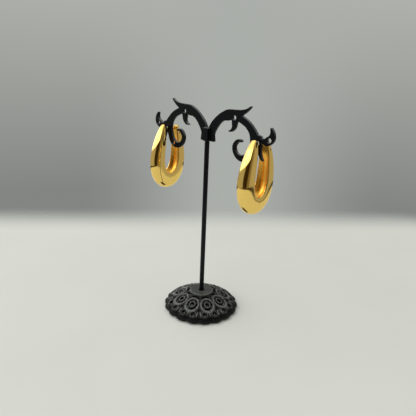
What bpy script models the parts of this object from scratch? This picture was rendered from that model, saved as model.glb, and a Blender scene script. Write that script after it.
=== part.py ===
# Pair of teardrop hoop earrings on a scroll display stand.
# A rod stands in the socket of a pierced cast base and carries a flat scroll bar.
# Each hoop hangs by its straight ear post, which passes through a hole of the scroll bar.
# The base is centred on the origin, +Z is up, the bar runs along X and its face looks toward -Y.

import math

import bmesh
import bpy
import numpy as np
from mathutils import Vector

MM = 0.001

# Clearance between pieces that fit into each other
FIT_GAP = 0.3 * MM

# Base casting: a domed shell whose lobed edge stands on a wider flange over a smaller rim
BASE_RADIUS = 24.0 * MM
BASE_HEIGHT = 11.8 * MM
RIM_INSET = 1.8 * MM
RIM_HEIGHT = 1.2 * MM
RIM_WIDTH = 1.4 * MM
FLANGE_HEIGHT = 1.1 * MM
EDGE_INSET = 1.7 * MM
EDGE_HEIGHT = 1.6 * MM
SHELL_WALL = 1.6 * MM
DISC_RADIUS = 7.4 * MM
DISC_STEP = 0.6 * MM
DOME_ROUNDING = 1.03
LOBE_DEPTH = 1.2 * MM
LOBE_ROUNDNESS = 0.7
STEPS_PER_LOBE = 4
BOSS_CLEARANCE = 4.4 * MM
SOCKET_WALL = 1.5 * MM
SOCKET_FLOOR = 1.0 * MM

# Pierced pattern of the base, with two lobes to each petal.
# Circles are shares of the way from the disc's edge to the rim's inner face.
PETAL_COUNT = 9
PETAL_CIRCLE = 0.48
SLOT_CIRCLE = 0.12
LOBE_HOLE_CIRCLE = 0.92
# Half a petal's width is a share of the distance between two petals, and its length is longer
PETAL_SPREAD = 0.418
PETAL_STRETCH = 1.05
# Holes of a petal are shares of its size, and their turns start at its outer end
CRESCENT_OUTER = 0.84
CRESCENT_INNER = 0.60
CRESCENT_HALF_ANGLE = math.radians(112)
EYE_SIZE = 0.30
DOT_CIRCLE = 0.70
DOT_TURN = math.radians(148)
DOT_DIAMETER = 1.1 * MM
PETAL_WIRE = 1.0 * MM
# The slot between a petal and the disc spans this share of the angle between two petals
SLOT_HALF_ANGLE = 0.29
SLOT_WIDTH = 0.9 * MM
LOBE_HOLE_LENGTH = 2.5 * MM
LOBE_HOLE_WIDTH = 1.6 * MM

# Rod with a thinner tenon that enters the scroll bar
ROD_DIAMETER = 2.9 * MM
TENON_DIAMETER = 1.8 * MM
TENON_LENGTH = 6.0 * MM
ROD_SIDES = 20

# Scroll bar: a flat plate, a little behind the rod's axis, with a square sleeve for the tenon
STAND_HEIGHT = 131.6 * MM
SCROLL_RISE = 22.1 * MM
SCROLL_REACH = 46.3 * MM
ARM_WIDTH = 0.13 * SCROLL_REACH
BAR_THICKNESS = 1.8 * MM
BAR_SET_BACK = 0.7 * MM
SLEEVE_WALL = 0.75 * MM
SLEEVE_HEIGHT = 7.6 * MM
STROKE_STEPS = 3
CAP_STEPS = 4
SCROLL_HOLE_DIAMETER = 2.6 * MM
HANG_HOLE_DIAMETER = 2.6 * MM

# Hoop: its shell is thin at the two tips and thick at the bottom, and grooved inside
HOOP_HEIGHT = 41.1 * MM
HOOP_DEPTH = 25.4 * MM
HOOP_THICKNESS = 7.4 * MM
HOOP_BREADTH = 8.8 * MM
TIP_ROUND = 1.4 * MM
TIP_CLEARANCE = 1.0 * MM
HOOP_TILT = math.radians(4.5)
HOOP_STEPS = 2

# Each hoop is turned a little on its post
HOOP_TURN_LEFT = math.radians(-2.5)
HOOP_TURN_RIGHT = math.radians(-2)

# Ear post
POST_DIAMETER = 0.9 * MM
POST_DROP = 2.3 * MM
POST_ENTRY = 1.2 * MM
POST_SIDES = 12

# Strokes of the right half of the scroll bar.
# Columns: out from the rod (share of SCROLL_REACH), up from the hub's foot (share of SCROLL_RISE),
# width (share of ARM_WIDTH)
ARCH_STROKE = [
    (0.055, 0.000, 0.92),
    (0.052, 0.226, 0.85),
    (0.100, 0.420, 0.84),
    (0.173, 0.588, 0.77),
    (0.244, 0.684, 0.82),
    (0.330, 0.735, 1.02),
    (0.432, 0.783, 0.73),
    (0.531, 0.833, 0.48),
    (0.605, 0.910, 0.23),
    (0.646, 0.982, 0.13),
]
INNER_CURL_STROKE = [
    (0.406, 0.747, 0.50),
    (0.462, 0.706, 0.63),
    (0.542, 0.647, 0.65),
    (0.625, 0.552, 0.64),
    (0.694, 0.399, 0.74),
    (0.732, 0.217, 1.00),
    (0.700, 0.050, 0.63),
    (0.667, -0.131, 0.65),
    (0.611, -0.249, 0.67),
    (0.533, -0.276, 0.55),
    (0.461, -0.178, 0.42),
    (0.436, -0.014, 0.39),
    (0.475, 0.117, 0.35),
    (0.516, 0.158, 0.23),
    (0.540, 0.145, 0.23),
]
OUTER_CURL_STROKE = [
    (0.732, 0.335, 0.50),
    (0.786, 0.276, 0.47),
    (0.838, 0.240, 0.37),
    (0.898, 0.231, 0.75),
    (0.955, 0.317, 0.70),
    (0.963, 0.448, 0.40),
    (0.944, 0.548, 0.18),
]
ARCH_BARB_STROKE = [
    (0.425, 0.710, 0.73),
    (0.421, 0.566, 0.57),
    (0.415, 0.448, 0.40),
    (0.384, 0.367, 0.25),
    (0.346, 0.344, 0.13),
]
HANG_BARB_STROKE = [
    (0.793, 0.276, 0.60),
    (0.799, 0.131, 0.42),
    (0.808, -0.023, 0.32),
    (0.833, -0.158, 0.23),
    (0.862, -0.232, 0.13),
]

# Round holes of the scroll bar, the hang hole first.
# Columns: out from the rod (share of SCROLL_REACH), up from the hub's foot (share of SCROLL_RISE)
HANG_HOLE = (0.773, 0.158)
SCROLL_HOLES = [
    (0.419, 0.688),
    (0.933, 0.271),
    (0.622, -0.226),
]

# Sections of half a hoop, tip to bottom.
# Columns: centre ahead of the hoop's middle (share of the widest), centre below the tip (share of the
# bottom's), thickness (share of HOOP_THICKNESS), breadth (share of HOOP_BREADTH), depth of the groove
# (share of the full groove's)
HOOP_SECTIONS = [
    (0.605, 0.000, 0.36, 0.42, 0.0),
    (0.755, 0.146, 0.62, 0.70, 0.2),
    (0.887, 0.312, 0.82, 0.86, 0.9),
    (0.978, 0.479, 0.94, 0.95, 1.0),
    (1.000, 0.646, 1.02, 0.99, 1.0),
    (0.841, 0.838, 1.15, 1.00, 0.9),
    (0.450, 0.964, 1.34, 1.00, 0.7),
    (0.000, 1.000, 1.44, 0.98, 0.6),
]
WIDEST_ROW = 4

# Outline of half a section, from the outer face to the middle of the groove in the inner face.
# Columns: outward (share of half the thickness), across (share of half the breadth), how far the full
# groove lifts the point outward (share of half the thickness)
SECTION_OUTLINE = [
    (0.98, 0.27, 0.00),
    (0.72, 0.76, 0.00),
    (0.14, 0.99, 0.00),
    (-0.58, 1.00, 0.00),
    (-1.00, 0.87, 0.00),
    (-0.98, 0.62, 0.18),
    (-0.98, 0.22, 0.60),
]

# Places that several pieces share
FOOT_Z = STAND_HEIGHT - SCROLL_RISE
RIM_RADIUS = BASE_RADIUS - RIM_INSET
RIM_INNER = RIM_RADIUS - RIM_WIDTH
FLANGE_TOP = RIM_HEIGHT + FLANGE_HEIGHT
EDGE_RADIUS = BASE_RADIUS - EDGE_INSET
EDGE_TOP = FLANGE_TOP + EDGE_HEIGHT
DOME_TOP = BASE_HEIGHT - DISC_STEP
LOBE_COUNT = 2 * PETAL_COUNT
SOCKET_RADIUS = ROD_DIAMETER / 2 + FIT_GAP
SOCKET_BOTTOM = BOSS_CLEARANCE + SOCKET_FLOOR
BAR_FRONT = BAR_SET_BACK - BAR_THICKNESS / 2
HANG_X = HANG_HOLE[0] * SCROLL_REACH
HANG_Z = HANG_HOLE[1] * SCROLL_RISE + FOOT_Z
POST_Z = HANG_Z - HANG_HOLE_DIAMETER / 2 + FIT_GAP + POST_DIAMETER / 2


def clear_scene():
    for thing in list(bpy.data.objects):
        bpy.data.objects.remove(thing, do_unlink=True)


def make_material(name, colour, roughness, metallic):
    material = bpy.data.materials.new(name)
    material.use_nodes = True
    shader = material.node_tree.nodes["Principled BSDF"]
    shader.inputs["Base Color"].default_value = (*colour, 1.0)
    shader.inputs["Roughness"].default_value = roughness
    shader.inputs["Metallic"].default_value = metallic
    return material


def mesh_object(name, bm):
    # A closed solid with its faces pointing out, as an object at the origin
    bmesh.ops.recalc_face_normals(bm, faces=bm.faces)
    mesh = bpy.data.meshes.new(name)
    bm.to_mesh(mesh)
    bm.free()
    solid = bpy.data.objects.new(name, mesh)
    bpy.context.scene.collection.objects.link(solid)
    return solid


def boolean(solid, tool, operation):
    # The solid joined with the tool or cut by it; the tool is used up
    step = solid.modifiers.new("boolean", "BOOLEAN")
    step.operation = operation
    step.solver = "EXACT"
    step.object = tool
    bpy.context.view_layer.update()
    evaluated = solid.evaluated_get(bpy.context.evaluated_depsgraph_get())
    result = bpy.data.meshes.new_from_object(evaluated)
    solid.modifiers.clear()
    solid.data = result
    bpy.data.objects.remove(tool, do_unlink=True)


def merge_flat_faces(solid, angle=math.radians(0.5)):
    # Faces that a join left side by side in one plane become one face
    bm = bmesh.new()
    bm.from_mesh(solid.data)
    bmesh.ops.dissolve_limit(bm, angle_limit=angle, verts=bm.verts, edges=bm.edges)
    bmesh.ops.triangulate(bm, faces=bm.faces)
    bm.to_mesh(solid.data)
    bm.free()


def finish(solid, material, sharp_angle=math.radians(35)):
    solid.data.materials.clear()
    solid.data.materials.append(material)
    solid.data.shade_smooth()
    solid.data.set_sharp_from_angle(angle=sharp_angle)


def smooth_rows(rows, steps):
    # Catmull-Rom curve through the rows of a table, with the given steps between two rows
    table = np.array(rows, dtype=float)
    ends = np.vstack([2 * table[0] - table[1], table, 2 * table[-1] - table[-2]])
    smoothed = []
    for index in range(len(table) - 1):
        before, start, end, after = ends[index:index + 4]
        for share in np.arange(steps) / steps:
            smoothed.append(0.5 * (
                2 * start + (end - before) * share
                + (2 * before - 5 * start + 4 * end - after) * share ** 2
                + (3 * start - before - 3 * end + after) * share ** 3))
    smoothed.append(table[-1])
    return np.array(smoothed)


def slopes(path):
    # Unit direction of a path of points at each of its points
    steps = np.gradient(path, axis=0)
    return steps / np.linalg.norm(steps, axis=1)[:, None]


def prism(bm, outline, offset, along):
    # Closed prism over an outline of points, from each point plus offset to that plus along
    near = [bm.verts.new(Vector(point) + offset) for point in outline]
    far = [bm.verts.new(Vector(point) + offset + along) for point in outline]
    bm.faces.new(near)
    bm.faces.new(far[::-1])
    for index in range(len(outline)):
        following = (index + 1) % len(outline)
        bm.faces.new([near[following], near[index], far[index], far[following]])


def skin(bm, first, second):
    # Band of faces between two loops of vertices
    for index in range(len(first)):
        following = (index + 1) % len(first)
        bm.faces.new([first[index], first[following], second[following], second[index]])


def loft(bm, rings):
    # Tube through rings of points, closed by a flat face at each end
    loops = [[bm.verts.new(point) for point in ring] for ring in rings]
    for first, second in zip(loops, loops[1:]):
        skin(bm, first, second)
    bm.faces.new(loops[0][::-1])
    bm.faces.new(loops[-1])


def circle(radius, sides):
    # Corners of a regular polygon, with a flat across +X
    angles = [2 * math.pi * (index + 0.5) / sides for index in range(sides)]
    return [(radius * math.cos(angle), radius * math.sin(angle)) for angle in angles]


def polar(radius, angle):
    return Vector((radius * math.cos(angle), radius * math.sin(angle), 0))


def cylinder_solid(name, start, end, radius, sides):
    axis = Vector(end) - Vector(start)
    turn = axis.to_track_quat("Z", "Y").to_matrix()
    ring = [turn @ Vector((x, y, 0)) for x, y in circle(radius, sides)]
    bm = bmesh.new()
    loft(bm, [[Vector(start) + point for point in ring], [Vector(end) + point for point in ring]])
    return mesh_object(name, bm)


# Base


def lobed(radius, lobe_share, angle):
    # Radius at an angle of a circle that dips by LOBE_DEPTH between the lobes
    wave = abs(math.cos(LOBE_COUNT / 2 * angle)) ** LOBE_ROUNDNESS
    return radius - LOBE_DEPTH * lobe_share * (1 - wave)


def dome_height(radius):
    # Height of the dome's outer face, from the top disc's edge down to the lobed edge
    share = (radius - DISC_RADIUS) / (EDGE_RADIUS - DISC_RADIUS)
    share = min(max(share, 0), 1)
    return DOME_TOP - (DOME_TOP - EDGE_TOP) * share ** DOME_ROUNDING


def pattern_radius(share):
    return DISC_RADIUS + share * (RIM_INNER - DISC_RADIUS)


def base_profile():
    # Columns: radius, height, share of the lobes
    slope = [pattern_radius(share) for share in (0.0, 0.4, 0.8)]
    rows = [(DISC_RADIUS, BASE_HEIGHT, 0)]
    rows += [(radius, dome_height(radius), 0) for radius in slope]
    rows += [
        (EDGE_RADIUS, EDGE_TOP, 1),
        (EDGE_RADIUS, FLANGE_TOP, 1),
        (BASE_RADIUS, FLANGE_TOP, 1),
        (BASE_RADIUS, RIM_HEIGHT, 1),
        (RIM_RADIUS, RIM_HEIGHT, 1),
        (RIM_RADIUS, 0, 1),
        (RIM_INNER, 0, 1),
        (RIM_INNER, dome_height(RIM_INNER) - SHELL_WALL, 1),
    ]
    rows += [(radius, dome_height(radius) - SHELL_WALL, 0) for radius in slope[-2::-1]]
    return rows


def add_turned_base(bm):
    profile = base_profile()
    steps = LOBE_COUNT * STEPS_PER_LOBE
    columns = []
    for step in range(steps):
        angle = 2 * math.pi * step / steps
        column = []
        for radius, height, lobe_share in profile:
            point = polar(lobed(radius, lobe_share, angle), angle)
            point.z = height
            column.append(bm.verts.new(point))
        columns.append(column)
    for here, there in zip(columns, columns[1:] + columns[:1]):
        for row in range(len(profile) - 1):
            bm.faces.new([here[row], here[row + 1], there[row + 1], there[row]])
    bm.faces.new([column[0] for column in columns])
    bm.faces.new([column[-1] for column in columns])


def petal_angles():
    # Each petal points at every second notch between the lobes
    notch = math.pi / LOBE_COUNT
    return [notch + 2 * math.pi * index / PETAL_COUNT for index in range(PETAL_COUNT)]


def petal_radius():
    return PETAL_SPREAD * 2 * pattern_radius(PETAL_CIRCLE) * math.sin(math.pi / PETAL_COUNT)


def petal_point(angle, size, turn):
    # Place in plan on an oval of a share of a petal's size, turned from the petal's outer end
    ahead = PETAL_STRETCH * petal_radius() * size * math.cos(turn)
    across = petal_radius() * size * math.sin(turn)
    return polar(pattern_radius(PETAL_CIRCLE) + ahead, angle) + polar(across, angle + math.pi / 2)


def add_petal_ring(bm, angle, sides=12, wire_sides=4):
    # Raised wire ring that follows the dome round one petal
    centre = petal_point(angle, 0, 0)
    loops = []
    for x, y in circle(1, sides):
        on_ring = petal_point(angle, 1, math.atan2(y, x))
        away = (on_ring - centre).normalized()
        loop = []
        for wire_out, wire_up in circle(PETAL_WIRE / 2, wire_sides):
            point = on_ring + away * wire_out
            point.z = dome_height(on_ring.length) + wire_up
            loop.append(bm.verts.new(point))
        loops.append(loop)
    for first, second in zip(loops, loops[1:] + loops[:1]):
        skin(bm, first, second)


def add_through_hole(bm, rim):
    prism(bm, rim, Vector((0, 0, -BASE_HEIGHT)), Vector((0, 0, 3 * BASE_HEIGHT)))


def arc_turns(half_angle, steps):
    return [half_angle * (2 * step / steps - 1) for step in range(steps + 1)]


def add_crescent(bm, angle, steps=7):
    # Slot round the outer end of a petal
    turns = arc_turns(CRESCENT_HALF_ANGLE, steps)
    rim = [petal_point(angle, CRESCENT_OUTER, turn) for turn in turns]
    rim += [petal_point(angle, CRESCENT_INNER, turn) for turn in turns[::-1]]
    add_through_hole(bm, rim)


def add_disc_slot(bm, angle, steps=3):
    # Slot along the disc's edge, behind a petal
    middle = pattern_radius(SLOT_CIRCLE)
    turns = arc_turns(SLOT_HALF_ANGLE * 2 * math.pi / PETAL_COUNT, steps)
    rim = [polar(middle + SLOT_WIDTH / 2, angle + turn) for turn in turns]
    rim += [polar(middle - SLOT_WIDTH / 2, angle + turn) for turn in turns[::-1]]
    add_through_hole(bm, rim)


def add_oval_hole(bm, centre, facing, length, width, sides):
    # Oval hole with its length across the facing angle
    out = polar(1, facing)
    across = polar(1, facing + math.pi / 2)
    rim = [centre + across * x * length / 2 + out * y * width / 2 for x, y in circle(1, sides)]
    add_through_hole(bm, rim)


def build_base(material):
    turned = bmesh.new()
    add_turned_base(turned)
    base = mesh_object("base", turned)

    eye = 2 * EYE_SIZE * petal_radius()
    rings = bmesh.new()
    holes = bmesh.new()
    for angle in petal_angles():
        add_petal_ring(rings, angle)
        add_crescent(holes, angle)
        add_disc_slot(holes, angle)
        add_oval_hole(holes, petal_point(angle, 0, 0), angle, eye, eye * PETAL_STRETCH, 9)
        for side in (-1, 1):
            dot = petal_point(angle, DOT_CIRCLE, side * DOT_TURN)
            add_oval_hole(holes, dot, angle, DOT_DIAMETER, DOT_DIAMETER, 6)
    for lobe in range(LOBE_COUNT):
        angle = 2 * math.pi * lobe / LOBE_COUNT
        centre = polar(pattern_radius(LOBE_HOLE_CIRCLE), angle)
        add_oval_hole(holes, centre, angle, LOBE_HOLE_LENGTH, LOBE_HOLE_WIDTH, 7)
    boss = cylinder_solid("boss", (0, 0, BOSS_CLEARANCE), (0, 0, DOME_TOP - SHELL_WALL / 2),
                          SOCKET_RADIUS + SOCKET_WALL, ROD_SIDES)
    socket = cylinder_solid("socket", (0, 0, SOCKET_BOTTOM), (0, 0, 2 * BASE_HEIGHT),
                            SOCKET_RADIUS, ROD_SIDES)
    boolean(base, boss, "UNION")
    boolean(base, mesh_object("petal_rings", rings), "UNION")
    boolean(base, mesh_object("base_holes", holes), "DIFFERENCE")
    boolean(base, socket, "DIFFERENCE")
    finish(base, material)
    return base


# Rod


def build_rod(material):
    shoulder = FOOT_Z - FIT_GAP
    sections = [
        (ROD_DIAMETER / 2, SOCKET_BOTTOM + FIT_GAP),
        (ROD_DIAMETER / 2, shoulder),
        (TENON_DIAMETER / 2, shoulder),
        (TENON_DIAMETER / 2, FOOT_Z + TENON_LENGTH - FIT_GAP),
    ]
    bm = bmesh.new()
    loft(bm, [[(x, y, height) for x, y in circle(radius, ROD_SIDES)] for radius, height in sections])
    rod = mesh_object("rod", bm)
    finish(rod, material)
    return rod


# Scroll bar


def round_end(centre, half_width, normal, slope):
    # Points of a half circle that leads from the left edge to the right edge of a stroke's end
    turns = [math.pi * step / CAP_STEPS for step in range(1, CAP_STEPS)]
    return [centre + half_width * (normal * math.cos(turn) + slope * math.sin(turn)) for turn in turns]


def stroke_solid(name, rows, side, flat_start=False):
    # One tapered stroke of the scroll, on the side +1 right or -1 left
    path = smooth_rows(rows, STROKE_STEPS)
    centre = path[:, :2] * (SCROLL_REACH, SCROLL_RISE) + (0, FOOT_Z)
    half_width = path[:, 2] * ARM_WIDTH / 2
    slope = slopes(centre)
    if flat_start:
        slope[0] = (0, 1)
    normal = np.stack([-slope[:, 1], slope[:, 0]], axis=1)
    outline = list(centre + normal * half_width[:, None])
    outline += round_end(centre[-1], half_width[-1], normal[-1], slope[-1])
    outline += list((centre - normal * half_width[:, None])[::-1])
    if not flat_start:
        outline += round_end(centre[0], half_width[0], -normal[0], -slope[0])
    bm = bmesh.new()
    prism(bm, [(side * x, 0, z) for x, z in outline],
          Vector((0, BAR_FRONT, 0)), Vector((0, BAR_THICKNESS, 0)))
    return mesh_object(name, bm)


def cut_scroll_hole(bar, x, z, diameter):
    start = (x, BAR_FRONT - BAR_THICKNESS, z)
    end = (x, BAR_FRONT + 2 * BAR_THICKNESS, z)
    boolean(bar, cylinder_solid("scroll_hole", start, end, diameter / 2, 14), "DIFFERENCE")


def build_scroll_bar(material):
    bar = stroke_solid("scroll_bar", ARCH_STROKE, 1, flat_start=True)
    boolean(bar, stroke_solid("stroke", ARCH_STROKE, -1, flat_start=True), "UNION")
    for side in (-1, 1):
        for rows in (INNER_CURL_STROKE, OUTER_CURL_STROKE, ARCH_BARB_STROKE, HANG_BARB_STROKE):
            boolean(bar, stroke_solid("stroke", rows, side), "UNION")
    bore_radius = TENON_DIAMETER / 2 + FIT_GAP
    sleeve = cylinder_solid("sleeve", (0, 0, FOOT_Z), (0, 0, FOOT_Z + SLEEVE_HEIGHT),
                            (bore_radius + SLEEVE_WALL) * math.sqrt(2), 4)
    boolean(bar, sleeve, "UNION")
    bore = cylinder_solid("bore", (0, 0, FOOT_Z - ROD_DIAMETER), (0, 0, FOOT_Z + TENON_LENGTH),
                          bore_radius, ROD_SIDES)
    boolean(bar, bore, "DIFFERENCE")
    for side in (-1, 1):
        cut_scroll_hole(bar, side * HANG_X, HANG_Z, HANG_HOLE_DIAMETER)
        for out, up in SCROLL_HOLES:
            cut_scroll_hole(bar, side * out * SCROLL_REACH, up * SCROLL_RISE + FOOT_Z, SCROLL_HOLE_DIAMETER)
    merge_flat_faces(bar)
    finish(bar, material)
    return bar


# Hoops and ear posts


def hoop_path():
    # Columns: ahead of the middle, above the tips, thickness, breadth, groove, from the front tip round
    # to the back tip
    widest = (HOOP_DEPTH - HOOP_THICKNESS * HOOP_SECTIONS[WIDEST_ROW][2]) / 2
    bottom = HOOP_HEIGHT - HOOP_THICKNESS * HOOP_SECTIONS[-1][2] / 2
    half = np.array(HOOP_SECTIONS) * (widest, TIP_ROUND - bottom, HOOP_THICKNESS, HOOP_BREADTH, 1)
    half[:, 1] -= TIP_ROUND
    back = half[-2::-1] * (-1, 1, 1, 1, 1)
    return smooth_rows(np.vstack([half, back]), HOOP_STEPS)


def tip_inner_distance():
    # From the hoop's middle to the inner face of a tip, at the height of the post
    path = hoop_path()
    front = path[:len(path) // 2]
    ahead = np.interp(POST_DROP, -front[:, 1], front[:, 0])
    thickness = np.interp(POST_DROP, -front[:, 1], front[:, 2])
    return ahead - thickness / 2


def hoop_ring(centre, outward, thickness, breadth, groove):
    # Ring round one point of the hoop: round outside, with flat flanks and a grooved inner face
    half = [(out + lift * groove, across) for out, across, lift in SECTION_OUTLINE]
    ring = []
    for out, across in half + [(out, -across) for out, across in half[::-1]]:
        ahead, above = centre + outward * out * thickness / 2
        ring.append(Vector((across * breadth / 2, -ahead, above + POST_DROP)))
    return ring


def tip_rings(centre, slope, thickness, breadth):
    # Rings that round a tip off, from its end inward; the slope points into the hoop
    outward = np.array([-slope[1], slope[0]])
    rings = []
    for turn in (math.radians(80), math.radians(55), math.radians(28)):
        place = centre - slope * TIP_ROUND * math.sin(turn)
        rings.append(hoop_ring(place, outward, thickness * math.cos(turn), breadth * math.cos(turn), 0))
    return rings


def build_hoop(name, side, turn, material):
    path = hoop_path()
    centres = path[:, :2]
    slope = slopes(centres)
    outward = np.stack([-slope[:, 1], slope[:, 0]], axis=1)
    rings = tip_rings(centres[0], slope[0], *path[0, 2:4])
    for centre, out, section in zip(centres, outward, path[:, 2:]):
        rings.append(hoop_ring(centre, out, *section))
    mirrored = []
    for ring in rings[2::-1]:
        mirrored.append([Vector((point.x, -point.y, point.z)) for point in ring])
    bm = bmesh.new()
    loft(bm, rings + mirrored)
    hoop = mesh_object(name, bm)

    reach = tip_inner_distance() + POST_ENTRY
    hole = cylinder_solid("post_hole", (0, -reach, 0), (0, reach, 0),
                          POST_DIAMETER / 2 + FIT_GAP, POST_SIDES)
    boolean(hoop, hole, "DIFFERENCE")
    place_at_hang_hole(hoop, side, turn)
    finish(hoop, material)
    return hoop


def build_ear_post(name, side, turn, material):
    reach = tip_inner_distance() + POST_ENTRY - FIT_GAP
    post = cylinder_solid(name, (0, -reach, 0), (0, reach, 0), POST_DIAMETER / 2, POST_SIDES)
    place_at_hang_hole(post, side, turn)
    finish(post, material)
    return post


def place_at_hang_hole(solid, side, turn):
    # The post lies in the hang hole, the front tip stands clear of the bar's face, and the hoop's
    # bottom swings a little toward the front
    middle = BAR_FRONT - TIP_CLEARANCE + tip_inner_distance()
    solid.location = (side * HANG_X, middle, POST_Z)
    solid.rotation_euler = (-HOOP_TILT, 0, turn)


def main():
    clear_scene()
    black_base = make_material("black_cast_base", (0.020, 0.021, 0.022), 0.45, 0.0)
    black_bar = make_material("black_plastic_bar", (0.010, 0.011, 0.013), 0.35, 0.0)
    black_rod = make_material("black_painted_rod", (0.010, 0.011, 0.012), 0.4, 0.0)
    gold = make_material("polished_gold_plate", (0.93, 0.62, 0.17), 0.08, 1.0)
    gold_wire = make_material("gold_post_wire", (0.93, 0.62, 0.17), 0.15, 1.0)
    build_base(black_base)
    build_rod(black_rod)
    build_scroll_bar(black_bar)
    for word, side, turn in (("left", -1, HOOP_TURN_LEFT), ("right", 1, HOOP_TURN_RIGHT)):
        build_hoop("hoop_" + word, side, turn, gold)
        build_ear_post("ear_post_" + word, side, turn, gold_wire)


main()
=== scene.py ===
import math

import bmesh
import bpy
from mathutils import Matrix, Vector


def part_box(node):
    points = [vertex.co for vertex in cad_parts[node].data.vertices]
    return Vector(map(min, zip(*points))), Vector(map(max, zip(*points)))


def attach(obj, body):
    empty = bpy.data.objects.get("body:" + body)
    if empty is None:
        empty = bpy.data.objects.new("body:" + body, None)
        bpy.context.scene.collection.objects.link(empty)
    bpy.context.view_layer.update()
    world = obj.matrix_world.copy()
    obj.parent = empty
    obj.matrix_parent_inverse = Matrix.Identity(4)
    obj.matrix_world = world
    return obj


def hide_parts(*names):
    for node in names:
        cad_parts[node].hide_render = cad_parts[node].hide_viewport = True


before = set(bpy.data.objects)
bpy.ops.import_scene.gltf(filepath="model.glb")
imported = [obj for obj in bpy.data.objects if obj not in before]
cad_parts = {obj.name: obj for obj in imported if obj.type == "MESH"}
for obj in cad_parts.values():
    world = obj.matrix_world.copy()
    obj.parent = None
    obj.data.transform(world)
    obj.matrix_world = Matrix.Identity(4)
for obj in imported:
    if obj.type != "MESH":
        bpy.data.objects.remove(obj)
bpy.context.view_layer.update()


# Base
# A pierced dome of cast zinc under black paint. Its lobed edge stands on a wider flange over a small rim,
# and the petals, lips and leaves stand up from the dome as rounded wires. The rod's socket is cast below.

MM = 0.001
BASE_TOP = 11.8 * MM
DISC_RADIUS = 7.4 * MM
DISC_STEP = 0.6 * MM
DOME_EDGE_RADIUS = 22.3 * MM
DOME_EDGE_TOP = 3.9 * MM
DOME_ROUNDING = 1.03
PETAL_COUNT = 9
PETAL_CENTRE = 14.4 * MM
PETAL_RADIUS = 4.15 * MM
PETAL_STRETCH = 1.08
PETAL_WIRE = 1.15 * MM
EYE_CENTRE = 13.83 * MM
EYE_LIP_RADIUS = 1.72 * MM
EYE_LIP_WIRE = 0.8 * MM
DISC_SLOT_CENTRE = 8.7 * MM
LOBE_CENTRE = 19.85 * MM
LOBE_LIP_RADIUS = 1.75 * MM
LOBE_LIP_WIRE = 0.65 * MM
LEAF_CENTRE = 19.9 * MM
LEAF_ASIDE = 1.05 * MM
CORNER_CENTRE = 17.2 * MM
DISC_EDGE_WIRE = 0.6 * MM
DISC_EDGE_INSET = 0.35 * MM
DISC_EDGE_SUNK = 0.14 * MM
CASTING_GRAIN = 0.22 * MM
CASTING_KEPT = 0.58
# The disc counts as lower, so it takes less wear and less painted highlight, all but a band at its edge
DISC_LESS_WORN_AND_LIT = 0.4
DISC_EDGE_WORN_AND_LIT = 0.2 * MM
PIT_SIZE = 0.9 * MM
PIT_DEPTH = 0.08 * MM

# Where the first petal and the first corner between two petals stand, and how far a lobe and a leaf lean off
PETAL_TURN = math.radians(10)
CORNER_TURN = math.radians(30)
LOBE_LEAN = math.radians(9)
LEAF_LEAN = math.radians(14)

# Beads and hollows: outward, across and upright
SLOT_SIZE = (1.65 * MM, 5.2 * MM, 8 * MM)
PANEL_SIZE = (3.3 * MM, 3.4 * MM, 1.4 * MM)
CORNER_SIZE = (2.0 * MM, 2.2 * MM, 2.0 * MM)
RIB_SIZE = (4.4 * MM, 0.85 * MM, 1.0 * MM)
LEAF_SIZE = (3.7 * MM, 1.0 * MM, 1.5 * MM)

# The recess tone is painted shade, and the worn grey is real wear that is partly a painted highlight
BASE_PAINTED_RECESS_SHADE = "#030404"
BASE_BLACK = "#161716"
BASE_WORN_AND_HIGHLIT = "#777A75"


def deselect_all():
    bpy.ops.object.select_all(action="DESELECT")


def use_only(piece):
    # The one selected and active object, in object mode
    deselect_all()
    piece.select_set(True)
    bpy.context.view_layer.objects.active = piece


def merged_copy(node, name):
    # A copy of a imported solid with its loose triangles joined
    use_only(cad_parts[node])
    bpy.ops.object.duplicate()
    piece = bpy.context.active_object
    piece.name = name
    piece.parent = None
    bpy.ops.object.mode_set(mode="EDIT")
    bpy.ops.mesh.select_all(action="SELECT")
    bpy.ops.mesh.customdata_custom_splitnormals_clear()
    bpy.ops.mesh.remove_doubles(threshold=0.002 * MM)
    bpy.ops.object.mode_set(mode="OBJECT")
    return piece


def join_pieces(first, others):
    use_only(first)
    for piece in others:
        piece.select_set(True)
    bpy.ops.object.join()
    return first


def turned_copies(piece, count, start):
    # Copies round the upright axis, each with its own mesh, from the start angle on; the first one is used
    copies = [piece]
    for index in range(1, count):
        use_only(piece)
        bpy.ops.object.duplicate()
        copies.append(bpy.context.active_object)
    for index, copy in enumerate(copies):
        copy.rotation_euler[2] = start + 2 * math.pi * index / count
    return copies


def add_modifier(piece, kind, **settings):
    modifier = piece.modifiers.new(kind.lower(), kind)
    for key, value in settings.items():
        setattr(modifier, key, value)
    use_only(piece)
    bpy.ops.object.modifier_apply(modifier=modifier.name)


def cut_away(piece, cutters):
    cutter = join_pieces(cutters[0], cutters[1:])
    add_modifier(piece, "BOOLEAN", object=cutter, operation="DIFFERENCE", solver="EXACT")
    bpy.data.objects.remove(cutter, do_unlink=True)


def apply_place(piece):
    use_only(piece)
    bpy.ops.object.transform_apply(location=True, rotation=True, scale=True)


def settle(piece, node):
    # The finished piece, with its place in its mesh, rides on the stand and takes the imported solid's place
    apply_place(piece)
    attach(piece, "root")
    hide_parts(node)


def linear(code):
    # A linear colour from an sRGB hex value
    parts = [int(code[start:start + 2], 16) / 255 for start in (1, 3, 5)]
    return [part / 12.92 if part <= 0.04045 else ((part + 0.055) / 1.055) ** 2.4 for part in parts] + [1]


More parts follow.
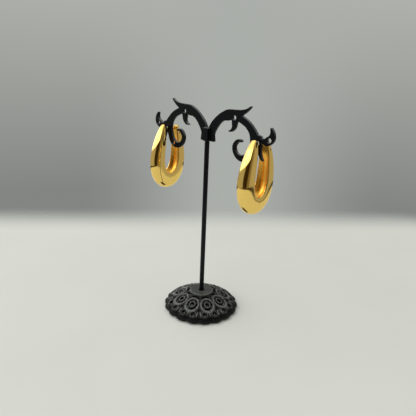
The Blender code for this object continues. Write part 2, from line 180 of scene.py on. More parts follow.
def add_node(tree, kind, inputs=(), **settings):
    # One node with its settings; inputs holds values, or the output of another node as (node, output)
    node = tree.nodes.new(kind)
    for key, value in settings.items():
        setattr(node, key, value)
    for key, value in dict(inputs).items():
        if isinstance(value, tuple) and isinstance(value[0], bpy.types.Node):
            tree.links.new(value[0].outputs[value[1]], node.inputs[key])
        else:
            node.inputs[key].default_value = value
    return node


def new_material(name):
    material = bpy.data.materials.new(name)
    material.use_nodes = True
    tree = material.node_tree
    return material, tree, tree.nodes["Principled BSDF"]


def wear(piece, material):
    piece.data.materials.clear()
    piece.data.materials.append(material)


def dome_height(radius):
    # How high the plain dome is at a distance from the middle
    share = (radius - DISC_RADIUS) / (DOME_EDGE_RADIUS - DISC_RADIUS)
    share = min(max(share, 0), 1)
    top = BASE_TOP - DISC_STEP
    return top - (top - DOME_EDGE_TOP) * share ** DOME_ROUNDING


def lay_on_dome(piece):
    # A relief that was shaped on the table level follows the dome's slope
    apply_place(piece)
    for vertex in piece.data.vertices:
        vertex.co.z += dome_height(math.hypot(vertex.co.x, vertex.co.y))


def dome_bead(out, aside, size, turn=0):
    # A smooth bead or hollow on the dome, out from the middle and aside, with its three sizes
    deselect_all()
    bpy.ops.mesh.primitive_uv_sphere_add(segments=16, ring_count=8, radius=0.5, location=(out, aside, 0))
    bead = bpy.context.active_object
    bead.scale = size
    bead.rotation_euler[2] = turn
    lay_on_dome(bead)
    return bead


def level_ring(out, ring, wire, stretch=(1, 1, 1), segments=32):
    # A wire ring on the table level, out from the middle, with its wire's full width
    deselect_all()
    bpy.ops.mesh.primitive_torus_add(major_radius=ring, minor_radius=wire / 2, major_segments=segments,
                                     minor_segments=8, location=(out, 0, 0))
    bpy.context.active_object.scale = stretch
    return bpy.context.active_object


base = merged_copy("base", "base_cast")

# The disc's long slots are opened wider, and the panel in each lobe and the corner between two petals sink
slot = dome_bead(DISC_SLOT_CENTRE, 0, SLOT_SIZE)
cut_away(base, turned_copies(slot, PETAL_COUNT, PETAL_TURN))
for side in (-1, 1):
    panel_hollow = dome_bead(LOBE_CENTRE, 0, PANEL_SIZE)
    cut_away(base, turned_copies(panel_hollow, PETAL_COUNT, PETAL_TURN + side * LOBE_LEAN))
corner_hollow = dome_bead(CORNER_CENTRE, 0, CORNER_SIZE)
cut_away(base, turned_copies(corner_hollow, PETAL_COUNT, CORNER_TURN))

# One petal: the bold wire round it, the broad lip of its eye, and the rib down to the edge
petal = level_ring(PETAL_CENTRE, PETAL_RADIUS, PETAL_WIRE, (PETAL_STRETCH, 1, 1.0))
eye_lip = level_ring(EYE_CENTRE, EYE_LIP_RADIUS, EYE_LIP_WIRE, (1.05, 1, 0.9), 24)
lay_on_dome(petal)
lay_on_dome(eye_lip)
rib = dome_bead(LOBE_CENTRE, 0, RIB_SIZE)
join_pieces(petal, [eye_lip, rib])
petals = turned_copies(petal, PETAL_COUNT, PETAL_TURN)

# One pair of leaves that lean together between two petals
leaves = [dome_bead(LEAF_CENTRE, side * LEAF_ASIDE, LEAF_SIZE, side * LEAF_LEAN) for side in (-1, 1)]
leaf_pairs = turned_copies(join_pieces(leaves[0], leaves[1:]), PETAL_COUNT, CORNER_TURN)

# A wire lip round the sunk panel of each lobe, which lies a little nearer the petal's rib than the leaves
lips = []
for side in (-1, 1):
    lip = level_ring(LOBE_CENTRE, LOBE_LIP_RADIUS, LOBE_LIP_WIRE, (1.0, 0.95, 0.9), 24)
    lay_on_dome(lip)
    lips += turned_copies(lip, PETAL_COUNT, PETAL_TURN + side * LOBE_LEAN)

# The turned edge of the plain top disc
deselect_all()
bpy.ops.mesh.primitive_torus_add(major_radius=DISC_RADIUS - DISC_EDGE_INSET, minor_radius=DISC_EDGE_WIRE / 2,
                                 major_segments=72, minor_segments=8,
                                 location=(0, 0, BASE_TOP - DISC_EDGE_SUNK))
disc_edge = bpy.context.active_object

join_pieces(base, petals + leaf_pairs + lips + [disc_edge])
add_modifier(base, "REMESH", mode="VOXEL", voxel_size=CASTING_GRAIN, adaptivity=0)
add_modifier(base, "SMOOTH", factor=0.5, iterations=2)
add_modifier(base, "DECIMATE", ratio=CASTING_KEPT)
use_only(base)
bpy.ops.object.shade_smooth()

# How far each point stands above the plain dome, in millimetres, for the paint's wear, painted highlight and
# painted shade; the turned disc is kept darker than the wires, with less wear and less painted highlight
heights = []
for vertex in base.data.vertices:
    radius = math.hypot(vertex.co.x, vertex.co.y)
    above = (vertex.co.z - dome_height(radius)) / MM
    heights.append(above - DISC_LESS_WORN_AND_LIT if radius < DISC_RADIUS - DISC_EDGE_WORN_AND_LIT else above)
relief = base.data.attributes.new("relief", "FLOAT", "POINT")
relief.data.foreach_set("value", heights)

# Thin black paint on a rough casting: the raised wires are worn grey, partly a painted highlight, and the
# recesses are painted darker still as shade
cast_paint, tree, shader = new_material("painted zinc casting")
place = add_node(tree, "ShaderNodeTexCoord")
stand_proud = add_node(tree, "ShaderNodeAttribute", attribute_name="relief")
raised = add_node(tree, "ShaderNodeMapRange", {"Value": (stand_proud, "Fac"), "From Min": 0.02,
                                               "From Max": 0.42}, interpolation_type="SMOOTHSTEP")
sunk = add_node(tree, "ShaderNodeMapRange", {"Value": (stand_proud, "Fac"), "From Min": -0.45,
                                             "From Max": -0.02}, interpolation_type="SMOOTHSTEP")
pits = add_node(tree, "ShaderNodeTexNoise", {"Vector": (place, "Object"), "Scale": 1 / PIT_SIZE,
                                             "Detail": 5.0, "Roughness": 0.65})
broken = add_node(tree, "ShaderNodeMapRange", {"Value": (pits, "Fac"), "From Min": 0.30, "From Max": 0.62})
# Raised wires turn grey: wear, and partly a painted highlight
rubbed_and_highlit = add_node(tree, "ShaderNodeMath", {0: (raised, "Result"), 1: (broken, "Result")},
                  operation="MULTIPLY")
# Recesses go darker than the paint: painted shade
unworn_with_painted_shade = add_node(tree, "ShaderNodeMix", {"Factor": (sunk, "Result"), "A": linear(BASE_PAINTED_RECESS_SHADE),
                                          "B": linear(BASE_BLACK)}, data_type="RGBA")
tone = add_node(tree, "ShaderNodeMix", {"Factor": (rubbed_and_highlit, "Value"), "A": (unworn_with_painted_shade, "Result"),
                                        "B": linear(BASE_WORN_AND_HIGHLIT)}, data_type="RGBA")
tree.links.new(tone.outputs["Result"], shader.inputs["Base Color"])
gloss = add_node(tree, "ShaderNodeMapRange", {"Value": (pits, "Fac"), "To Min": 0.34, "To Max": 0.62})
tree.links.new(gloss.outputs["Result"], shader.inputs["Roughness"])
bump = add_node(tree, "ShaderNodeBump", {"Height": (pits, "Fac"), "Strength": 0.5, "Distance": PIT_DEPTH})
tree.links.new(bump.outputs["Normal"], shader.inputs["Normal"])
shader.inputs["Specular IOR Level"].default_value = 0.2
wear(base, cast_paint)
settle(base, "base")


# Rod
# A straight round steel rod with black paint, pushed into the socket of the base and the sleeve of the
# scroll bar. Its shoulder stops just under the sleeve.

ROD_DIAMETER = 2.9 * MM
TENON_DIAMETER = 1.8 * MM
SHOULDER_HEIGHT = 109.2 * MM
SHOULDER_ROUND = 0.12 * MM
ROD_BLACK = "#0A0C10"
ROD_SHEEN = "#12161C"
ORANGE_PEEL = 0.5 * MM
PEEL_DEPTH = 0.02 * MM

rod_low, rod_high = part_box("rod")
deselect_all()
bpy.ops.mesh.primitive_cylinder_add(vertices=48, radius=ROD_DIAMETER / 2, depth=SHOULDER_HEIGHT - rod_low[2],
                                    location=(0, 0, (SHOULDER_HEIGHT + rod_low[2]) / 2))
rod = bpy.context.active_object
rod.name = "rod_painted"
bpy.ops.object.mode_set(mode="EDIT")
bpy.ops.mesh.select_all(action="DESELECT")
mesh = bmesh.from_edit_mesh(rod.data)
for face in mesh.faces:
    face.select = face.normal.z > 0.9
bmesh.update_edit_mesh(rod.data)
bpy.ops.mesh.inset(thickness=(ROD_DIAMETER - TENON_DIAMETER) / 2)
bpy.ops.mesh.extrude_region_move(TRANSFORM_OT_translate={"value": (0, 0, rod_high[2] - SHOULDER_HEIGHT)})
bpy.ops.object.mode_set(mode="OBJECT")
add_modifier(rod, "BEVEL", width=SHOULDER_ROUND, segments=3, limit_method="ANGLE",
             angle_limit=math.radians(60))
use_only(rod)
bpy.ops.object.shade_smooth_by_angle(angle=math.radians(30))

# Sprayed paint on steel: satin, with a faint orange peel that breaks the long highlight
black_paint, tree, shader = new_material("sprayed black paint")
place = add_node(tree, "ShaderNodeTexCoord")
peel = add_node(tree, "ShaderNodeTexNoise", {"Vector": (place, "Object"), "Scale": 1 / ORANGE_PEEL,
                                             "Detail": 2.0})
tone = add_node(tree, "ShaderNodeMix", {"Factor": (peel, "Fac"), "A": linear(ROD_BLACK),
                                        "B": linear(ROD_SHEEN)}, data_type="RGBA")
tree.links.new(tone.outputs["Result"], shader.inputs["Base Color"])
gloss = add_node(tree, "ShaderNodeMapRange", {"Value": (peel, "Fac"), "To Min": 0.30, "To Max": 0.44})
tree.links.new(gloss.outputs["Result"], shader.inputs["Roughness"])
bump = add_node(tree, "ShaderNodeBump", {"Height": (peel, "Fac"), "Strength": 0.15, "Distance": PEEL_DEPTH})
tree.links.new(bump.outputs["Normal"], shader.inputs["Normal"])
shader.inputs["Specular IOR Level"].default_value = 0.15
wear(rod, black_paint)
settle(rod, "rod")


# Scroll bar
# A flat plate of black ABS with two mirrored scrolls, moulded in one piece with a square sleeve for the
# rod. The mould leaves its edges a little round, so they catch the light from above.

BAR_DETAIL = 0.19 * MM
BAR_KEPT = 0.5
BAR_BLACK = "#07090D"
# The lighter tone on the faces that look up is dust and partly a painted highlight
BAR_DUST_AND_SHEEN = "#9EA3A6"
BAR_GRAIN = 0.35 * MM
BAR_GRAIN_DEPTH = 0.02 * MM
DUST_PATCH = 3.846 * MM

scroll_bar = merged_copy("scroll_bar", "scroll_bar_moulded")
add_modifier(scroll_bar, "REMESH", mode="VOXEL", voxel_size=BAR_DETAIL, adaptivity=0)
add_modifier(scroll_bar, "SMOOTH", factor=0.5, iterations=4)
add_modifier(scroll_bar, "DECIMATE", ratio=BAR_KEPT)
use_only(scroll_bar)
bpy.ops.object.shade_smooth()

# Moulded ABS is satin: one broad soft highlight, with fine dust and a painted highlight on the faces that
# look up
black_plastic, tree, shader = new_material("moulded black ABS")
place = add_node(tree, "ShaderNodeTexCoord")
grain = add_node(tree, "ShaderNodeTexNoise", {"Vector": (place, "Object"), "Scale": 1 / BAR_GRAIN,
                                              "Detail": 3.0, "Roughness": 0.6})
facing = add_node(tree, "ShaderNodeNewGeometry")
height = add_node(tree, "ShaderNodeSeparateXYZ", {"Vector": (facing, "Normal")})
upward = add_node(tree, "ShaderNodeMapRange", {"Value": (height, "Z"), "From Min": 0.15, "From Max": 0.9,
                                               "To Min": 0.0, "To Max": 0.85}, clamp=True)
patchy = add_node(tree, "ShaderNodeTexNoise", {"Vector": (place, "Object"), "Scale": 1 / DUST_PATCH,
                                               "Detail": 4.0})
# Faces that look up are painted lighter: dust, and partly a painted highlight
dust_and_sheen = add_node(tree, "ShaderNodeMath", {0: (upward, "Result"), 1: (patchy, "Fac")}, operation="MULTIPLY")
colour = add_node(tree, "ShaderNodeMix", {"Factor": (dust_and_sheen, "Value"), "A": linear(BAR_BLACK),
                                          "B": linear(BAR_DUST_AND_SHEEN)}, data_type="RGBA")
tree.links.new(colour.outputs["Result"], shader.inputs["Base Color"])
gloss = add_node(tree, "ShaderNodeMapRange", {"Value": (grain, "Fac"), "To Min": 0.28, "To Max": 0.42})
tree.links.new(gloss.outputs["Result"], shader.inputs["Roughness"])
bump = add_node(tree, "ShaderNodeBump", {"Height": (grain, "Fac"), "Strength": 0.18,
                                         "Distance": BAR_GRAIN_DEPTH})
tree.links.new(bump.outputs["Normal"], shader.inputs["Normal"])
shader.inputs["Specular IOR Level"].default_value = 0.12
wear(scroll_bar, black_plastic)
settle(scroll_bar, "scroll_bar")


# Hoops
# Two hollow teardrops of thin brass sheet, polished to a mirror and plated with yellow gold. The shell is
# thin at the tips and thick at the bottom, round outside and open inside, where a smooth groove runs.

HOOP_HEIGHT = 41.1 * MM
HOOP_DEPTH = 25.4 * MM
HOOP_THICKNESS = 7.4 * MM
HOOP_BREADTH = 8.8 * MM
TIP_ROUND = 1.4 * MM
POST_DROP = 2.3 * MM
POST_HOLE_RADIUS = 0.75 * MM
POST_HOLE_LENGTH = 10.6 * MM
PIN_HOLE_RADIUS = 0.42 * MM
PIN_HOLE_LENGTH = 12 * MM
PIN_HOLE_PLACE = (0, 6.0 * MM, -2.6 * MM)
HOOP_TILT = math.radians(4.5)
HOOP_TURNS = {"left": math.radians(-2.5), "right": math.radians(-2)}
GOLD = "#FFD979"
# The groove's deeper gold is a painted reflection of the gold in the gold
GOLD_INSIDE_PAINTED_REFLECTION = "#FFC452"
GROOVE_ROUGHNESS = 0.28
POLISH_PATCH = 5.556 * MM
RIPPLE_LENGTH = 2.381 * MM
RIPPLE_DEPTH = 0.05 * MM

# Columns from the tip to the bottom: ahead of the middle (share of the widest), below the tip (share of
# the bottom's), thickness and breadth (shares of the hoop's), depth of the groove (share of the full one)
HOOP_SECTIONS = [
    (0.605, 0.000, 0.36, 0.42, 0.0),
    (0.755, 0.146, 0.62, 0.70, 0.2),
    (0.887, 0.312, 0.82, 0.86, 0.9),
    (0.978, 0.479, 0.94, 0.95, 1.0),
    (1.000, 0.646, 1.02, 0.99, 1.0),
    (0.841, 0.838, 1.15, 1.00, 0.9),
    (0.450, 0.964, 1.34, 1.00, 0.7),
    (0.000, 1.000, 1.44, 0.98, 0.6),
]
WIDEST_ROW = 4

# The round end past the last section: how far on (share of the tip's round) and how large it is still there
TIP_RINGS = [(0.47, 0.88), (0.82, 0.57), (0.98, 0.17)]

# Half a section, from the outer face to the middle of the groove: outward (share of half the thickness),
# across (share of half the breadth), how far the full groove lifts the point (share of half the thickness)
SECTION_OUTLINE = [
    (1.00, 0.22, 0.00),
    (0.88, 0.58, 0.00),
    (0.60, 0.87, 0.00),
    (0.12, 1.00, 0.00),
    (-0.50, 1.01, 0.00),
    (-0.95, 0.96, 0.00),
    (-1.02, 0.80, 0.00),
    (-0.98, 0.68, 0.13),
    (-0.98, 0.44, 0.50),
    (-0.98, 0.15, 0.64),
]
FULL_OUTLINE = SECTION_OUTLINE + [(out, -across, lift) for out, across, lift in SECTION_OUTLINE[::-1]]


def hoop_stations(steps=3):
    # Smooth stations from the bottom up to the front tip, each with the direction of the shell there
    widest = (HOOP_DEPTH - HOOP_THICKNESS * HOOP_SECTIONS[WIDEST_ROW][2]) / 2
    bottom = HOOP_HEIGHT - HOOP_THICKNESS * HOOP_SECTIONS[-1][2] / 2
    rows = []
    for ahead, below, thickness, breadth, groove in HOOP_SECTIONS:
        rows.append(Vector((ahead * widest, below * (TIP_ROUND - bottom) - TIP_ROUND + POST_DROP,
                            thickness * HOOP_THICKNESS, breadth * HOOP_BREADTH, groove)))
    past_bottom = rows[-2].copy()
    past_bottom[0] = -past_bottom[0]
    rows = [2 * rows[0] - rows[1]] + rows + [past_bottom]
    path = []
    for index in range(1, len(rows) - 2):
        before, start, end, after = rows[index - 1:index + 3]
        for step in range(steps):
            t = step / steps
            path.append(0.5 * (2 * start + (end - before) * t
                               + (2 * before - 5 * start + 4 * end - after) * t ** 2
                               + (3 * start - before - 3 * end + after) * t ** 3))
    path.append(rows[-2])
    path = path[::-1]
    stations = [(path[0], Vector((1, 0)))]
    for index in range(1, len(path)):
        last = path[min(index + 1, len(path) - 1)]
        run = last.to_2d() - path[index - 1].to_2d()
        stations.append((path[index], run.normalized()))
    return stations


def place_section(hoop, station, rise, share, grooved):
    # The selected ring takes its place: a section at a station, moved on by rise and shrunk to a share
    (ahead, above, thickness, breadth, groove), along = station
    outward = Vector((along.y, -along.x))
    centre = Vector((ahead, above)) + along * rise
    mesh = bmesh.from_edit_mesh(hoop.data)
    order = mesh.verts.layers.int["outline"]
    for vertex in mesh.verts:
        if vertex.select:
            out, across, lift = FULL_OUTLINE[vertex[order]]
            lift *= groove if grooved else 0
            spot = centre + outward * (out + lift) * thickness / 2 * share
            vertex.co = (across * breadth / 2 * share, -spot.x, spot.y)
    bmesh.update_edit_mesh(hoop.data)


# Half of one hoop is extruded section by section from the bottom up to the tip, closed and mirrored
deselect_all()
bpy.ops.mesh.primitive_circle_add(vertices=len(FULL_OUTLINE), radius=HOOP_BREADTH / 2, location=(0, 0, 0))
hoop = bpy.context.active_object
hoop.data.attributes.new("outline", "INT", "POINT")
hoop.data.attributes.new("inside", "FLOAT", "POINT")
for index, (out, across, lift) in enumerate(FULL_OUTLINE):
    hoop.data.attributes["outline"].data[index].value = index
    hoop.data.attributes["inside"].data[index].value = 1.0 if lift > 0 else 0.0
bpy.ops.object.mode_set(mode="EDIT")
bpy.ops.mesh.select_all(action="SELECT")
stations = hoop_stations()
place_section(hoop, stations[0], 0, 1, True)
for station in stations[1:]:
    bpy.ops.mesh.extrude_region_move(TRANSFORM_OT_translate={"value": (0, 0, TIP_ROUND)})
    place_section(hoop, station, 0, 1, True)
for rise, share in TIP_RINGS:
    bpy.ops.mesh.extrude_region_move(TRANSFORM_OT_translate={"value": (0, 0, TIP_ROUND)})
    place_section(hoop, stations[-1], rise * TIP_ROUND, share, False)
bpy.ops.mesh.fill()
bpy.ops.object.mode_set(mode="OBJECT")
add_modifier(hoop, "MIRROR", use_axis=(False, True, False), use_clip=True, merge_threshold=0.01 * MM)
use_only(hoop)
bpy.ops.object.mode_set(mode="EDIT")
bpy.ops.mesh.select_all(action="SELECT")
bpy.ops.mesh.normals_make_consistent(inside=False)
bpy.ops.object.mode_set(mode="OBJECT")
add_modifier(hoop, "SUBSURF", levels=2, render_levels=2)

# The post's hole runs from tip to tip, and a small pin hole crosses the back tip
for radius, depth, spot, turn in (
        (POST_HOLE_RADIUS, POST_HOLE_LENGTH, (0, 0, 0), (math.pi / 2, 0, 0)),
        (PIN_HOLE_RADIUS, PIN_HOLE_LENGTH, PIN_HOLE_PLACE, (0, math.pi / 2, 0))):
    deselect_all()
    bpy.ops.mesh.primitive_cylinder_add(vertices=20, radius=radius, depth=depth, location=spot, rotation=turn)
    drill = bpy.context.active_object
    add_modifier(hoop, "BOOLEAN", object=drill, operation="DIFFERENCE", solver="EXACT")
    bpy.data.objects.remove(drill, do_unlink=True)
use_only(hoop)
bpy.ops.object.shade_smooth_by_angle(angle=math.radians(50))

# Polished plate: a mirror that is yellow by its own colour, with faint clouds and ripples that only blur it
# a little; the wheel doesn't reach into the groove, which stays less sharp, and its deeper colour is a
# painted reflection of the gold in the gold
gold_plate, tree, shader = new_material("polished gold plate")
place = add_node(tree, "ShaderNodeTexCoord")
groove = add_node(tree, "ShaderNodeAttribute", attribute_name="inside")
# Inside the groove the gold is painted deeper: a painted reflection of gold in gold
tone = add_node(tree, "ShaderNodeMix", {"Factor": (groove, "Fac"), "A": linear(GOLD),
                                        "B": linear(GOLD_INSIDE_PAINTED_REFLECTION)}, data_type="RGBA")
tree.links.new(tone.outputs["Result"], shader.inputs["Base Color"])
cloudy = add_node(tree, "ShaderNodeTexNoise", {"Vector": (place, "Object"), "Scale": 1 / POLISH_PATCH,
                                               "Detail": 3.0})
polish = add_node(tree, "ShaderNodeMapRange", {"Value": (cloudy, "Fac"), "To Min": 0.03, "To Max": 0.08})
gloss = add_node(tree, "ShaderNodeMath", {0: (groove, "Fac"), 1: GROOVE_ROUGHNESS, 2: (polish, "Result")},
                 operation="MULTIPLY_ADD")
tree.links.new(gloss.outputs["Value"], shader.inputs["Roughness"])
ripple = add_node(tree, "ShaderNodeTexNoise", {"Vector": (place, "Object"), "Scale": 1 / RIPPLE_LENGTH,
                                               "Detail": 1.0})
bump = add_node(tree, "ShaderNodeBump", {"Height": (ripple, "Fac"), "Strength": 0.08,
                                         "Distance": RIPPLE_DEPTH})
tree.links.new(bump.outputs["Normal"], shader.inputs["Normal"])
shader.inputs["Metallic"].default_value = 1.0
wear(hoop, gold_plate)

use_only(hoop)
bpy.ops.object.duplicate()
second_hoop = bpy.context.active_object
for piece, word in ((hoop, "left"), (second_hoop, "right")):
    post_low, post_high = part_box("ear_post_" + word)
    piece.name = "hoop_" + word + "_polished"
    piece.location = (Vector(post_low) + Vector(post_high)) / 2
    piece.rotation_euler = (-HOOP_TILT, 0, HOOP_TURNS[word])
    settle(piece, "hoop_" + word)


# Ear posts
# A straight gold-plated wire is fixed in the front tip, passes through the hang hole of the bar, and snaps
# into the back tip with the neck near its end.

POST_RADIUS = 0.45 * MM
POST_REACH = 5.04 * MM
NECK_RADIUS = 0.33 * MM
NECK_LENGTH = 0.35 * MM
NECK_FLARE = 0.1 * MM
HEAD_LENGTH = 0.45 * MM
POST_EDGE_ROUND = 0.1 * MM
DRAW_MARK_SPACING = 1.111 * MM

snap_length = NECK_LENGTH + NECK_FLARE + HEAD_LENGTH
neck_ratio = POST_RADIUS / NECK_RADIUS
deselect_all()
bpy.ops.mesh.primitive_cylinder_add(vertices=32, radius=POST_RADIUS, depth=2 * POST_REACH - snap_length,
                                    location=(0, -snap_length / 2, 0), rotation=(math.pi / 2, 0, 0))
post = bpy.context.active_object
apply_place(post)
bpy.ops.object.mode_set(mode="EDIT")
bpy.ops.mesh.select_all(action="DESELECT")
mesh = bmesh.from_edit_mesh(post.data)
for face in mesh.faces:
    face.select = face.normal.y > 0.9
bmesh.update_edit_mesh(post.data)
bpy.ops.mesh.inset(thickness=POST_RADIUS - NECK_RADIUS)
bpy.ops.mesh.extrude_region_move(TRANSFORM_OT_translate={"value": (0, NECK_LENGTH, 0)})
bpy.ops.mesh.extrude_region_move(TRANSFORM_OT_translate={"value": (0, NECK_FLARE, 0)})
bpy.ops.transform.resize(value=(neck_ratio, neck_ratio, neck_ratio))
bpy.ops.mesh.extrude_region_move(TRANSFORM_OT_translate={"value": (0, HEAD_LENGTH, 0)})
bpy.ops.object.mode_set(mode="OBJECT")
add_modifier(post, "BEVEL", width=POST_EDGE_ROUND, segments=3, limit_method="ANGLE",
             angle_limit=math.radians(60))
use_only(post)
bpy.ops.object.shade_smooth_by_angle(angle=math.radians(35))

# Drawn wire under the same plate: draw marks, coarser here than the real ones so that they show, leave it
# a little softer than the hoops
gold_wire, tree, shader = new_material("drawn gold wire")
place = add_node(tree, "ShaderNodeTexCoord")
draw_marks = add_node(tree, "ShaderNodeTexNoise", {"Vector": (place, "Object"),
                                                   "Scale": 1 / DRAW_MARK_SPACING, "Detail": 2.0})
gloss = add_node(tree, "ShaderNodeMapRange", {"Value": (draw_marks, "Fac"), "To Min": 0.10, "To Max": 0.22})
tree.links.new(gloss.outputs["Result"], shader.inputs["Roughness"])
shader.inputs["Base Color"].default_value = linear(GOLD)
shader.inputs["Metallic"].default_value = 1.0
wear(post, gold_wire)

use_only(post)
bpy.ops.object.duplicate()
second_post = bpy.context.active_object
for piece, word in ((post, "left"), (second_post, "right")):
    post_low, post_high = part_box("ear_post_" + word)
    piece.name = "ear_post_" + word + "_wire"
    piece.location = (Vector(post_low) + Vector(post_high)) / 2
    piece.rotation_euler = (-HOOP_TILT, 0, HOOP_TURNS[word])
    settle(piece, "ear_post_" + word)


# Floor
# A matt table top in a pale grey, a plain round plate. It fades out where the soft wall begins behind it,
# and round its edge for the views from the other sides.

CAMERA_AZIMUTH = 0.73939
TABLE_TURN = CAMERA_AZIMUTH + 0.105
FLOOR_SOLID = 130 * MM
FLOOR_FADED = 203 * MM
FLOOR_RADIUS = 370 * MM
FLOOR_SIDE_SOLID = 280 * MM
FLOOR_SIDE_FADED = 360 * MM
FLOOR_MOTTLE = 71.43 * MM
TABLE_SHADE = "#D7D9D4"
TABLE_LIGHT = "#DFE1DC"

deselect_all()
bpy.ops.mesh.primitive_circle_add(vertices=96, radius=FLOOR_RADIUS, fill_type="NGON", location=(0, 0, 0))
floor = bpy.context.active_object
floor.name = "floor"

# Matt lacquer on board: an even pale grey, with broad cloudy patches that only just show
table_top, tree, shader = new_material("matt table top")
place = add_node(tree, "ShaderNodeTexCoord")
mottle = add_node(tree, "ShaderNodeTexNoise", {"Vector": (place, "Object"), "Scale": 1 / FLOOR_MOTTLE,
                                               "Detail": 2.0})
tone = add_node(tree, "ShaderNodeMix", {"Factor": (mottle, "Fac"), "A": linear(TABLE_SHADE),
                                        "B": linear(TABLE_LIGHT)}, data_type="RGBA")
tree.links.new(tone.outputs["Result"], shader.inputs["Base Color"])
shader.inputs["Roughness"].default_value = 0.7
shader.inputs["Specular IOR Level"].default_value = 0.2
away = add_node(tree, "ShaderNodeVectorMath", {0: (place, "Object"),
                                               1: (-math.sin(TABLE_TURN), math.cos(TABLE_TURN), 0)},
                operation="DOT_PRODUCT")
far_edge = add_node(tree, "ShaderNodeMapRange", {"Value": (away, "Value"), "From Min": FLOOR_SOLID,
                                                 "From Max": FLOOR_FADED, "To Min": 1.0, "To Max": 0.0},
                    interpolation_type="SMOOTHSTEP")
radius = add_node(tree, "ShaderNodeVectorMath", {0: (place, "Object")}, operation="LENGTH")
side_edge = add_node(tree, "ShaderNodeMapRange", {"Value": (radius, "Value"), "From Min": FLOOR_SIDE_SOLID,
                                                  "From Max": FLOOR_SIDE_FADED, "To Min": 1.0,
                                                  "To Max": 0.0}, interpolation_type="SMOOTHSTEP")
seen_part = add_node(tree, "ShaderNodeMath", {0: (far_edge, "Result"), 1: (side_edge, "Result")},
                     operation="MULTIPLY")
tree.links.new(seen_part.outputs["Value"], shader.inputs["Alpha"])
wear(floor, table_top)


# Light
# A large soft panel overhead and to the left, and a grey room round the stand, which the gold mirrors: a
# pale table below, a bright ceiling, a window on the left, and a dark brown side beside the camera.

ROOM_SIDE = [0.40, 0.39, 0.37, 1]
ROOM_FRONT = [0.20, 0.165, 0.11, 1]
DARK_SIDE = [0.035, 0.022, 0.010, 1]
WINDOW = [2.2, 2.2, 2.1, 1]
CEILING = [0.95, 0.96, 0.95, 1]
TABLE_GLOW = [0.74, 0.74, 0.71, 1]
TABLE_EDGE = [0.06, 0.05, 0.03, 1]
WALL_TOP = [0.43, 0.44, 0.41, 1]
WALL_LOW = [0.225, 0.235, 0.225, 1]
WALL_GLOW = [0.405, 0.425, 0.400, 1]
SILL_CLIMB = -0.32
PANEL_PLACE = (-0.28, -0.30, 0.55)
PANEL_AIM = (0, 0, 0.08)
PANEL_WIDTH = 0.35
PANEL_DEPTH = 0.45
PANEL_POWER = 0.45

deselect_all()
bpy.ops.object.light_add(type="AREA", location=PANEL_PLACE)
panel = bpy.context.active_object
panel.rotation_euler = (Vector(PANEL_AIM) - panel.location).to_track_quat("-Z", "Y").to_euler()
panel.data.shape = "RECTANGLE"
panel.data.size = PANEL_WIDTH
panel.data.size_y = PANEL_DEPTH
panel.data.energy = PANEL_POWER
panel.visible_camera = False

world = bpy.data.worlds.new("soft grey room")
bpy.context.scene.world = world
world.use_nodes = True
tree = world.node_tree
tree.nodes.clear()
direction = add_node(tree, "ShaderNodeTexCoord")
split = add_node(tree, "ShaderNodeSeparateXYZ", {"Vector": (direction, "Generated")})


def room_vector(turn, rise):
    # A direction from the stand: degrees from the camera towards the picture's right, and above level
    turn, rise = CAMERA_AZIMUTH + math.radians(turn), math.radians(rise)
    return math.sin(turn) * math.cos(rise), -math.cos(turn) * math.cos(rise), math.sin(rise)


# How far a direction points to the camera, to the dark side, to the window and to the picture's right
toward = {}
for name, turn, rise in (("front", 0, 0), ("dark", -22, 8), ("window", -90, 0), ("right", 90, 0)):
    toward[name] = add_node(tree, "ShaderNodeVectorMath", {0: (direction, "Generated"),
                                                           1: room_vector(turn, rise)},
                            operation="DOT_PRODUCT")

# Each tone of the room lies over the last one where its measure passes from its start to its end
room = ROOM_SIDE
for colour, measure, start, end in ((ROOM_FRONT, (toward["front"], "Value"), 0.30, 0.75),
                                    (DARK_SIDE, (toward["dark"], "Value"), 0.74, 0.88),
                                    (CEILING, (split, "Z"), 0.62, 0.85)):
    amount = add_node(tree, "ShaderNodeMapRange", {"Value": measure, "From Min": start, "From Max": end},
                      interpolation_type="SMOOTHSTEP")
    mixed = add_node(tree, "ShaderNodeMix", {"Factor": (amount, "Result"), "A": room, "B": colour},
                     data_type="RGBA")
    room = (mixed, "Result")

# The window's lower edge climbs from the far left to the front
sill = add_node(tree, "ShaderNodeMath", {0: (toward["front"], "Value"), 1: SILL_CLIMB, 2: (split, "Z")},
                operation="MULTIPLY_ADD")
above_sill = add_node(tree, "ShaderNodeMapRange", {"Value": (sill, "Value"), "From Min": 0.17,
                                                   "From Max": 0.23}, interpolation_type="SMOOTHSTEP")
left_part = add_node(tree, "ShaderNodeMapRange", {"Value": (toward["window"], "Value"), "From Min": 0.18,
                                                  "From Max": 0.30}, interpolation_type="SMOOTHSTEP")
below_head = add_node(tree, "ShaderNodeMapRange", {"Value": (sill, "Value"), "From Min": 0.50,
                                                   "From Max": 0.56, "To Min": 1.0, "To Max": 0.25})
pane = add_node(tree, "ShaderNodeMath", {0: (above_sill, "Result"), 1: (left_part, "Result")},
                operation="MULTIPLY")
pane = add_node(tree, "ShaderNodeMath", {0: (pane, "Value"), 1: (below_head, "Result")}, operation="MULTIPLY")
room = add_node(tree, "ShaderNodeMix", {"Factor": (pane, "Value"), "A": room, "B": WINDOW}, data_type="RGBA")

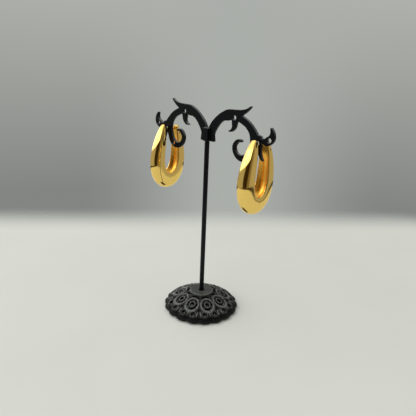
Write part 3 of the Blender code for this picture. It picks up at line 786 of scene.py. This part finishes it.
# The table ends in a dark line all round, and glows below it
above_edge = add_node(tree, "ShaderNodeMapRange", {"Value": (split, "Z"), "From Min": -0.252,
                                                   "From Max": -0.240}, interpolation_type="SMOOTHSTEP")
room = add_node(tree, "ShaderNodeMix", {"Factor": (above_edge, "Result"), "A": TABLE_EDGE,
                                        "B": (room, "Result")}, data_type="RGBA")
above_table = add_node(tree, "ShaderNodeMapRange", {"Value": (split, "Z"), "From Min": -0.290,
                                                    "From Max": -0.278}, interpolation_type="SMOOTHSTEP")
surroundings = add_node(tree, "ShaderNodeMix", {"Factor": (above_table, "Result"), "A": TABLE_GLOW,
                                                "B": (room, "Result")}, data_type="RGBA")

# What the camera sees past the floor is a plain grey wall, a little brighter behind the object
wall_height = add_node(tree, "ShaderNodeMapRange", {"Value": (split, "Z"), "From Min": -0.27,
                                                    "From Max": 0.16})
wall = add_node(tree, "ShaderNodeMix", {"Factor": (wall_height, "Result"), "A": WALL_LOW, "B": WALL_TOP},
                data_type="RGBA")
aside = add_node(tree, "ShaderNodeMath", {0: (toward["right"], "Value"), 1: 0.05}, operation="SUBTRACT")
distance = add_node(tree, "ShaderNodeMath", {0: (aside, "Value")}, operation="ABSOLUTE")
glow = add_node(tree, "ShaderNodeMapRange", {"Value": (distance, "Value"), "From Min": 0.0, "From Max": 0.36,
                                             "To Min": 1.0, "To Max": 0.0}, interpolation_type="SMOOTHSTEP")
wall = add_node(tree, "ShaderNodeMix", {"Factor": (glow, "Result"), "A": (wall, "Result"), "B": WALL_GLOW},
                data_type="RGBA")
seen = add_node(tree, "ShaderNodeLightPath")
picture = add_node(tree, "ShaderNodeMix", {"Factor": (seen, "Is Camera Ray"), "A": (surroundings, "Result"),
                                           "B": (wall, "Result")}, data_type="RGBA")
background = add_node(tree, "ShaderNodeBackground", {"Color": (picture, "Result"), "Strength": 1.0})
add_node(tree, "ShaderNodeOutputWorld", {"Surface": (background, "Background")})
bpy.context.scene.view_settings.view_transform = "Standard"


# Camera
# The photograph's view: from a little above the stand and a quarter of a metre away, turned two degrees off
# level.

CAMERA_LENS = 35.48
CAMERA_FILM_WIDTH = 36
CAMERA_DISTANCE = 251.87 * MM
CAMERA_ELEVATION = 0.32245
CAMERA_ROLL = 0.041359
CAMERA_AIM_HEIGHT = 68.257 * MM
CAMERA_AIM_RIGHT = 2.102 * MM

right = Vector((math.cos(CAMERA_AZIMUTH), math.sin(CAMERA_AZIMUTH), 0))
back = Vector((math.sin(CAMERA_AZIMUTH) * math.cos(CAMERA_ELEVATION),
               -math.cos(CAMERA_AZIMUTH) * math.cos(CAMERA_ELEVATION), math.sin(CAMERA_ELEVATION)))
up = back.cross(right)
rolled_right = right * math.cos(CAMERA_ROLL) + up * math.sin(CAMERA_ROLL)
rolled_up = up * math.cos(CAMERA_ROLL) - right * math.sin(CAMERA_ROLL)
deselect_all()
bpy.ops.object.camera_add()
camera = bpy.context.active_object
camera.location = Vector((0, 0, CAMERA_AIM_HEIGHT)) + right * CAMERA_AIM_RIGHT + back * CAMERA_DISTANCE
camera.rotation_euler = Matrix((rolled_right, rolled_up, back)).transposed().to_euler()
camera.data.lens = CAMERA_LENS
camera.data.sensor_width = CAMERA_FILM_WIDTH
camera.data.clip_start = 0.01
bpy.context.scene.camera = camera
